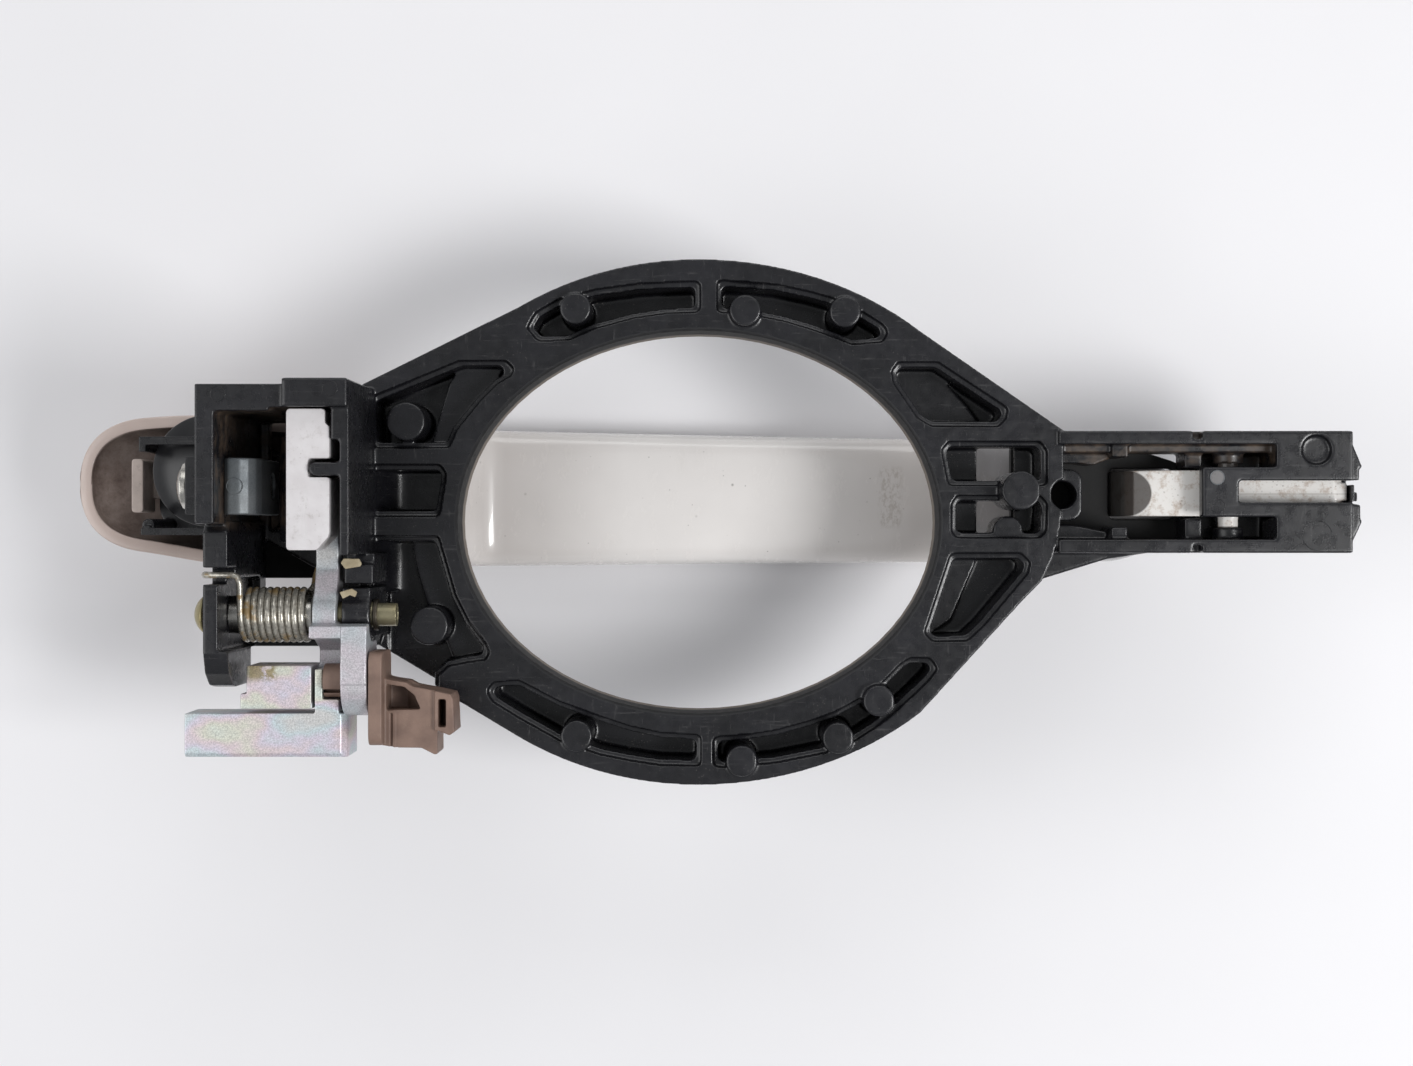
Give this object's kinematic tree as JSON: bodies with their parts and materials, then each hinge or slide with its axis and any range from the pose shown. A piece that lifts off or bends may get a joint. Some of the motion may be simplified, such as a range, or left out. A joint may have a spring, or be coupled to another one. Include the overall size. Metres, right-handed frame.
{
  "type": "car door handle",
  "caption": "Outside pull handle of a car door with its mounting frame, end cover, sprung bell crank, counterweight and rod clip.",
  "frame": {"origin": "under the middle of the whole handle, on the surface that its painted outer face lies on", "axes": "+X along the handle to its front pivot, +Y across it, away from the counterweight, +Z into the door"},
  "size_m": [0.262, 0.1052, 0.08],
  "materials": {
    "frame_nylon": "moulded black nylon, satin and scuffed",
    "gasket_rubber": "soft black rubber",
    "skin_paint": "gloss off-white car paint over plastic",
    "cover_paint": "beige-white car paint over plastic",
    "blank_plastic": "black polished plastic",
    "clip_plastic": "off-white plastic",
    "shoe_plastic": "white low-friction plastic",
    "steel": "plated steel",
    "spring_steel": "greased spring steel",
    "zinc": "die-cast zinc, passivated with an iridescent tint",
    "rod_clip_plastic": "brown plastic",
    "foam": "felt"
  },
  "bodies": {
    "chassis": {"base_frame": "frame_nylon", "front_gasket": "gasket_rubber", "rear_gasket": "gasket_rubber", "end_cover": "cover_paint", "cover_carrier": "frame_nylon", "cover_clip": "clip_plastic", "lock_blank": "blank_plastic", "cover_screw": "steel", "clamp_nut": "zinc", "crank_shaft": "steel", "shaft_washer": "steel", "spring_bush": "steel", "torsion_spring": "spring_steel", "stop_pad": "foam"},
    "grip": {"grip_outer_shell": "skin_paint", "grip_inner_shell": "skin_paint", "grip_leg": "frame_nylon", "hook_shoe": "shoe_plastic", "front_arm": "skin_paint"},
    "crank": {"bell_crank": "zinc", "counterweight": "zinc"},
    "clip": {"rod_clip": "rod_clip_plastic"}
  },
  "joints": [
    {"name": "grip_pull", "type": "hinge", "parent": "chassis", "child": "grip", "pos_m": [0.105, 0.006, 0.0415], "axis": [0, -1, 0], "range_deg": [0, 5], "stiffness_Nm_per_rad": 10, "springref_deg": -5.73},
    {"name": "crank_turn", "type": "hinge", "parent": "chassis", "child": "crank", "pos_m": [-0.075, -0.0181, 0.058], "axis": [-1, 0, 0], "range_deg": [0, 40], "deforming": ["torsion_spring"]},
    {"name": "clip_swing", "type": "hinge", "parent": "crank", "child": "clip", "pos_m": [-0.067, -0.0308, 0.06], "axis": [1, 0, 0], "range_deg": [-25, 0]}
  ],
  "couplings": [
    {"joint": "crank_turn", "follows": "grip_pull", "ratio": 8}
  ]
}
